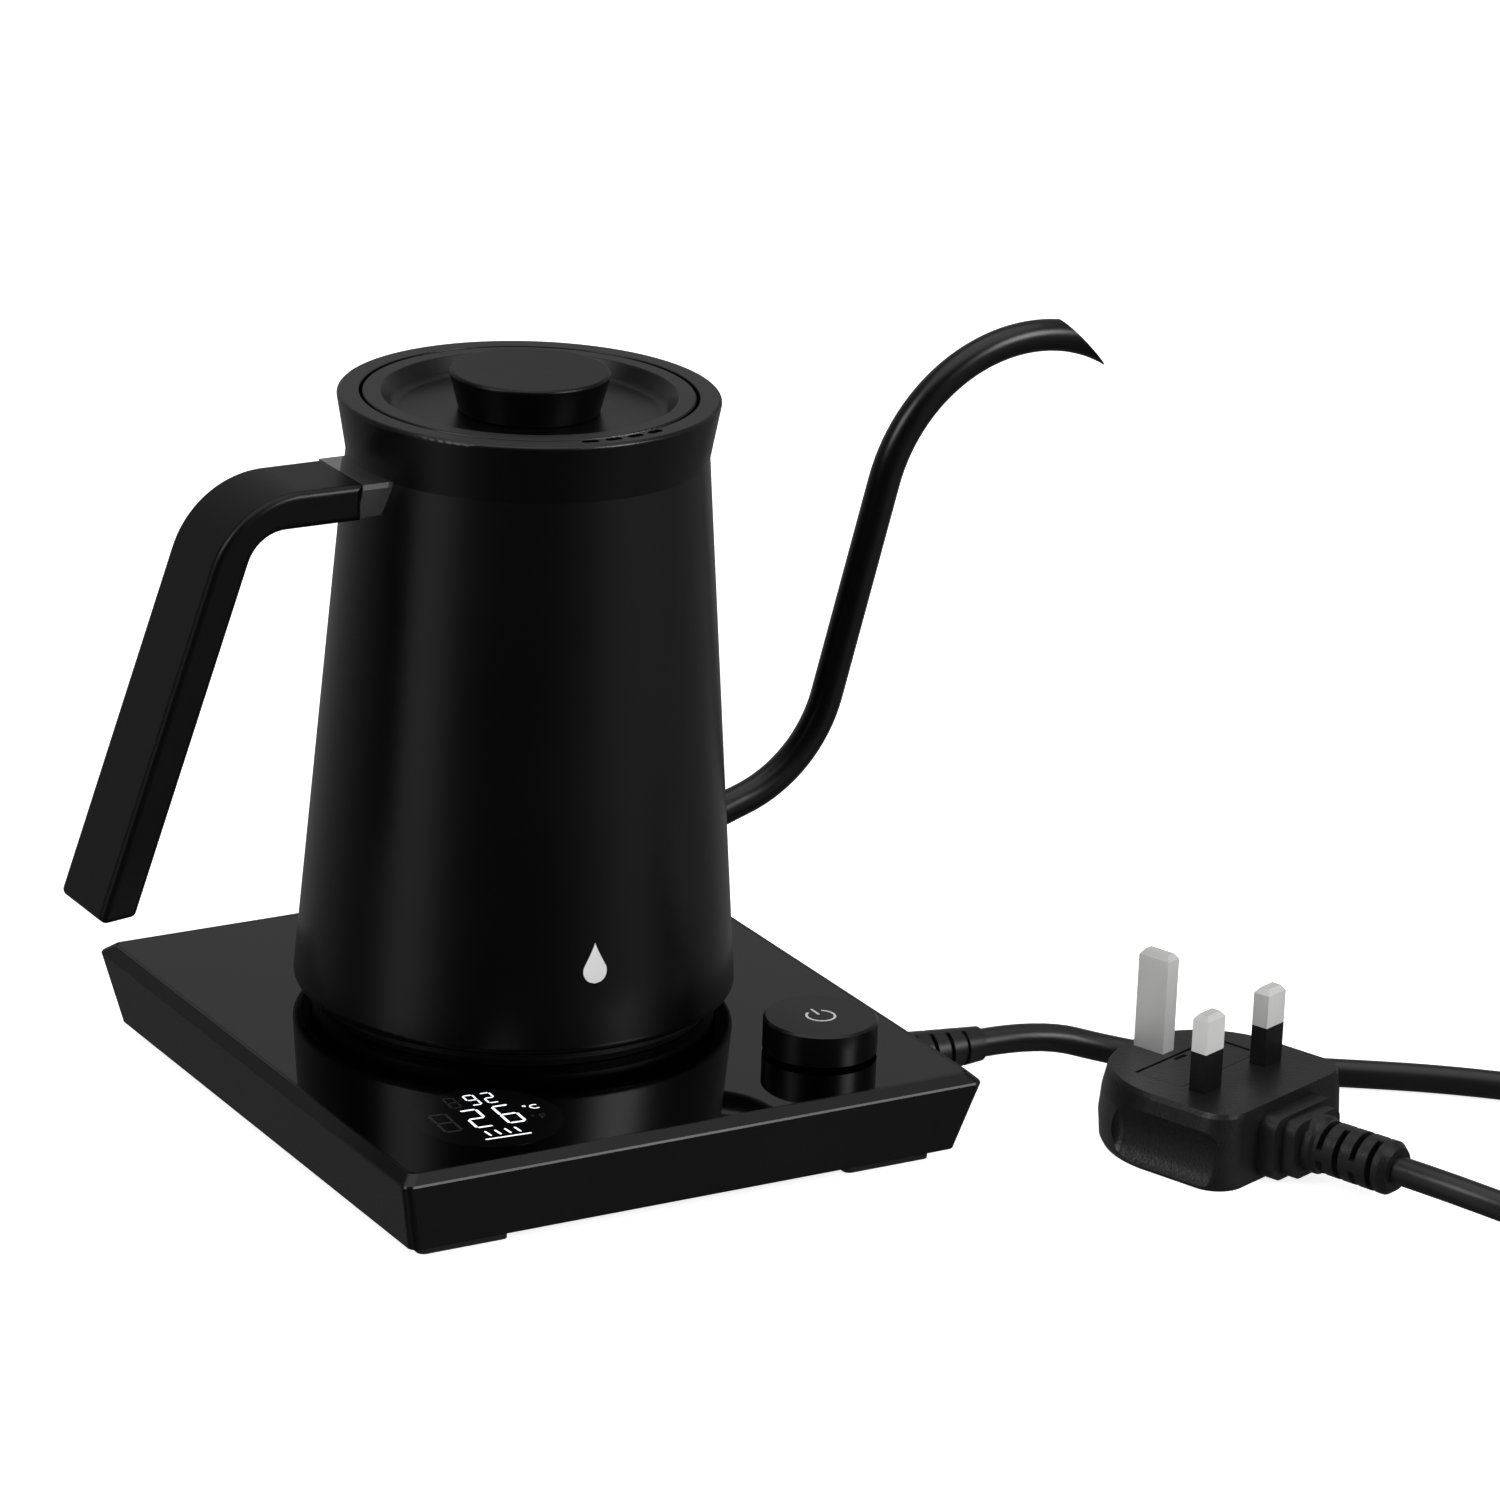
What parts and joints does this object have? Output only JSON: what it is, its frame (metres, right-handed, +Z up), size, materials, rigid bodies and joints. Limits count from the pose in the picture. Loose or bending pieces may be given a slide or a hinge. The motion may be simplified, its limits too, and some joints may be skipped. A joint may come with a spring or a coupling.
{
  "type": "gooseneck kettle",
  "caption": "Electric gooseneck kettle: a lidded tapered jug with a long thin curved spout and a bent handle, on a square glass-topped power base with a knob, display, cord and plug.",
  "frame": {"origin": "on the table, under the middle of the outline from the handle's end to the spout's tip, and midway between the base's front and back edges", "axes": "+X along the base's front edge towards the spout, +Y from the display and knob to the back, +Z up"},
  "size_m": [0.3516, 0.2847, 0.164],
  "materials": {
    "coated_steel": "satin black powder coat, fine orange peel",
    "base_shell": "satin black paint",
    "black_glass": "polished black glass",
    "dark_plastic": "fine spark-eroded texture",
    "connector_plastic": "heat-proof nylon, satin",
    "rubber": "soft matt rubber",
    "silicone": "translucent grey silicone, matt",
    "screw_steel": "zinc plated",
    "brass_contact": "bright, unlacquered",
    "circuit_board": "green solder mask",
    "component_black": "moulded epoxy",
    "component_blue": "shrunk sleeve",
    "copper_winding": "enamelled copper",
    "bare_aluminium": "mill finish",
    "display_lens": "smoked, with white light segments",
    "inner_steel": "food-grade stainless, brushed",
    "handle_plastic": "soft-touch, fine grain",
    "polished_metal": "mirror polished",
    "knob_black": "satin black, turned",
    "cord_pvc": "smooth semi-matt PVC",
    "plug_pvc": "moulded PVC, fine leather texture",
    "nickel_pin": "nickel plate, lightly drawn",
    "pin_sleeve": "smooth insulating nylon",
    "fuse_ceramic": "glazed ceramic with plated caps",
    "wire_pvc": "insulated wires, brown and blue"
  },
  "bodies": {
    "root": {"base_housing": "base_shell", "base_bottom_cover": "dark_plastic", "base_cover_screws": "screw_steel", "base_connector": "connector_plastic", "base_contacts": "brass_contact", "cord_grommet": "cord_pvc", "cord_clamp": "dark_plastic", "cord_lead": "cord_pvc", "cord_coil": "cord_pvc", "cord_tie": "dark_plastic", "cord_tail": "cord_pvc", "plug_body": "plug_pvc", "plug_strain_relief": "plug_pvc", "plug_earth_pin": "nickel_pin", "plug_live_pin": "nickel_pin", "plug_neutral_pin": "nickel_pin", "glass_top": "black_glass", "rubber_feet": "rubber", "power_board": "circuit_board", "control_board": "circuit_board", "transformer": "copper_winding", "relay": "component_black", "capacitors": "component_blue", "triac_heat_sink": "bare_aluminium", "buzzer": "component_black", "control_chip": "component_black", "display_module": "component_black", "display_window": "display_lens", "encoder_body": "component_black", "encoder_nut": "screw_steel", "clamp_screws": "screw_steel", "mains_wires": "wire_pvc", "pin_sleeves": "pin_sleeve"},
    "knob_switch": {"encoder_plunger": "component_black"},
    "knob": {"encoder_shaft": "bare_aluminium", "control_knob": "knob_black"},
    "jug_hub": {"connector_hub": "connector_plastic", "hub_contacts": "brass_contact"},
    "jug": {"jug_body": "coated_steel", "rim_collar": "coated_steel", "floor_plate": "inner_steel", "heat_spreader": "bare_aluminium", "heating_element": "inner_steel", "temperature_sensor": "inner_steel", "thermal_cutout": "component_black", "cover_studs": "screw_steel", "jug_bottom_cover": "dark_plastic", "jug_cover_screws": "screw_steel", "spout_tube": "coated_steel", "spout_strainer": "inner_steel", "handle_bracket": "polished_metal", "handle_grip": "handle_plastic", "handle_screws": "screw_steel"},
    "lid": {"lid_dish": "coated_steel", "lid_base_plate": "inner_steel", "lid_seal": "silicone", "lid_knob": "handle_plastic", "lid_knob_screw": "screw_steel"},
    "fuse_tray": {"fuse_carrier": "plug_pvc", "fuse": "fuse_ceramic"}
  },
  "joints": [
    {"name": "jug_lift", "type": "slide", "parent": "root", "child": "jug_hub", "axis": [0, 0, 1], "range_m": [0, 0.06]},
    {"name": "jug_swivel", "type": "hinge", "parent": "jug_hub", "child": "jug", "pos_m": [-0.0215, 0.0092, 0.026], "axis": [0, 0, 1], "continuous": true},
    {"name": "lid_lift", "type": "slide", "parent": "jug", "child": "lid", "axis": [0, 0, 1], "range_m": [0, 0.04]},
    {"name": "knob_press", "type": "slide", "parent": "root", "child": "knob_switch", "axis": [0, 0, -1], "range_m": [0, 0.0006], "stiffness_N_per_m": 1500, "springref_m": -0.0005},
    {"name": "knob_turn", "type": "hinge", "parent": "knob_switch", "child": "knob", "pos_m": [0.0228, -0.0487, 0.025], "axis": [0, 0, 1], "continuous": true},
    {"name": "fuse_tray_lift", "type": "slide", "parent": "root", "child": "fuse_tray", "axis": [0, 0, 1], "range_m": [0, 0.012]}
  ]
}
